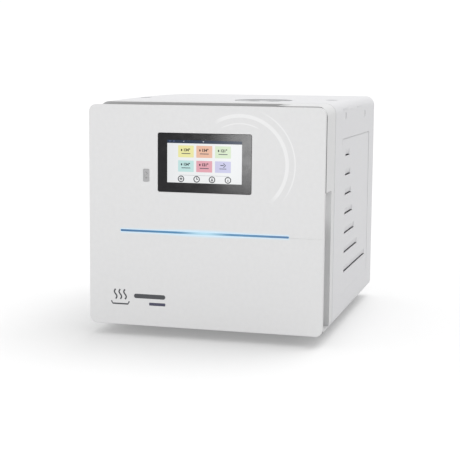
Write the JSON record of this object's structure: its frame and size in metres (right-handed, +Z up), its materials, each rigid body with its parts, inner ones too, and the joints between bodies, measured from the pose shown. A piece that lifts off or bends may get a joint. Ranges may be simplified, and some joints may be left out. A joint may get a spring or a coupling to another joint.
{
  "type": "benchtop steam sterilizer",
  "caption": "Benchtop steam autoclave with a horizontal chamber behind a thick side-hinged touchscreen door, louvred cover, water tanks, pumps and tray rack.",
  "frame": {"origin": "on the bench, under the middle of the cabinet's width and depth", "axes": "+X to the viewer's right when facing the door, +Y from the door to the back, +Z up"},
  "size_m": [0.48, 0.6, 0.4738],
  "materials": {
    "cabinet_paint": "fine satin powder coat",
    "white_plastic": "satin moulded",
    "lid_grey": "satin moulded",
    "zinc_sheet": "zinc-plated sheet",
    "stainless": "brushed stainless",
    "bright_steel": "machined",
    "painted_frame": "dark paint",
    "aluminium": "cast and machined",
    "tray_aluminium": "anodised",
    "brass": "machined",
    "chrome": "polished",
    "felt": "lagging felt",
    "tank_plastic": "blown, milky",
    "black_plastic": "moulded",
    "red_plastic": "moulded",
    "board_green": "lacquered board",
    "black_rubber": "moulded",
    "silicone": "silicone",
    "display_black": "polished cover glass",
    "socket_grey": "moulded",
    "light_blue": "light guide"
  },
  "bodies": {
    "cabinet": {"outer_cover": "cabinet_paint", "base_tray": "zinc_sheet", "front_bulkhead": "stainless", "rear_panel": "cabinet_paint", "foot_pads": "black_rubber", "cover_screws": "bright_steel", "pressure_chamber": "stainless", "chamber_flange": "bright_steel", "flange_bolts": "bright_steel", "chamber_insulation": "felt", "band_heater": "aluminium", "chamber_cradles": "zinc_sheet", "tray_rack": "stainless", "tray_lower": "tray_aluminium", "tray_middle": "tray_aluminium", "tray_upper": "tray_aluminium", "tank_shelf": "zinc_sheet", "clean_water_tank": "tank_plastic", "used_water_tank": "tank_plastic", "steam_generator": "stainless", "vacuum_pump": "aluminium", "water_pump": "black_plastic", "bacteriological_filter": "white_plastic", "condenser": "aluminium", "valve_manifold": "brass", "valve_coils": "black_plastic", "fan_frame": "black_plastic", "control_board": "board_green", "power_supply": "zinc_sheet", "relay_board": "board_green", "chamber_sensors": "bright_steel", "mains_inlet": "black_plastic", "switch_frame": "black_plastic", "fuse_holders": "black_plastic", "drain_spouts": "brass", "safety_valve_body": "brass", "safety_thermostat": "black_plastic", "hinge_brackets": "bright_steel", "lock_guides": "zinc_sheet", "lock_solenoid": "black_plastic"},
    "fan": {"fan_rotor": "black_plastic"},
    "rocker": {"power_rocker": "black_plastic"},
    "lock": {"lock_bar": "bright_steel"},
    "lid": {"tank_lid": "lid_grey"},
    "test_knob": {"safety_valve_knob": "chrome"},
    "reset": {"reset_button": "red_plastic"},
    "door": {"door_front_panel": "white_plastic", "panel_posts": "zinc_sheet", "panel_seal": "black_rubber", "door_housing": "white_plastic", "door_frame": "painted_frame", "door_strikers": "bright_steel", "door_plate": "stainless", "door_gasket": "silicone", "hinge_pins": "bright_steel", "display_glass": "display_black", "display_module": "black_plastic", "usb_socket": "socket_grey", "light_bar": "light_blue", "spindle_nut": "bright_steel"}
  },
  "joints": [
    {"name": "door_hinge", "type": "hinge", "parent": "cabinet", "child": "door", "pos_m": [-0.233, -0.213, 0.23], "axis": [0, 0, -1], "range_deg": [0, 100]},
    {"name": "fan_spin", "type": "hinge", "parent": "cabinet", "child": "fan", "pos_m": [0.15, 0.27, 0.24], "axis": [0, 1, 0], "continuous": true},
    {"name": "rocker_tilt", "type": "hinge", "parent": "cabinet", "child": "rocker", "pos_m": [-0.18, 0.285, 0.125], "axis": [1, 0, 0], "range_deg": [-16, 0]},
    {"name": "lock_slide", "type": "slide", "parent": "cabinet", "child": "lock", "axis": [0, 0, 1], "range_m": [0, 0.012]},
    {"name": "lid_lift", "type": "slide", "parent": "cabinet", "child": "lid", "axis": [0, 0, 1], "range_m": [0, 0.06]},
    {"name": "test_knob_turn", "type": "hinge", "parent": "cabinet", "child": "test_knob", "pos_m": [-0.15, 0.29, 0.3], "axis": [0, 1, 0], "range_deg": [0, 360]},
    {"name": "reset_press", "type": "slide", "parent": "cabinet", "child": "reset", "axis": [0, -1, 0], "range_m": [0, 0.0015], "stiffness_N_per_m": 400}
  ]
}
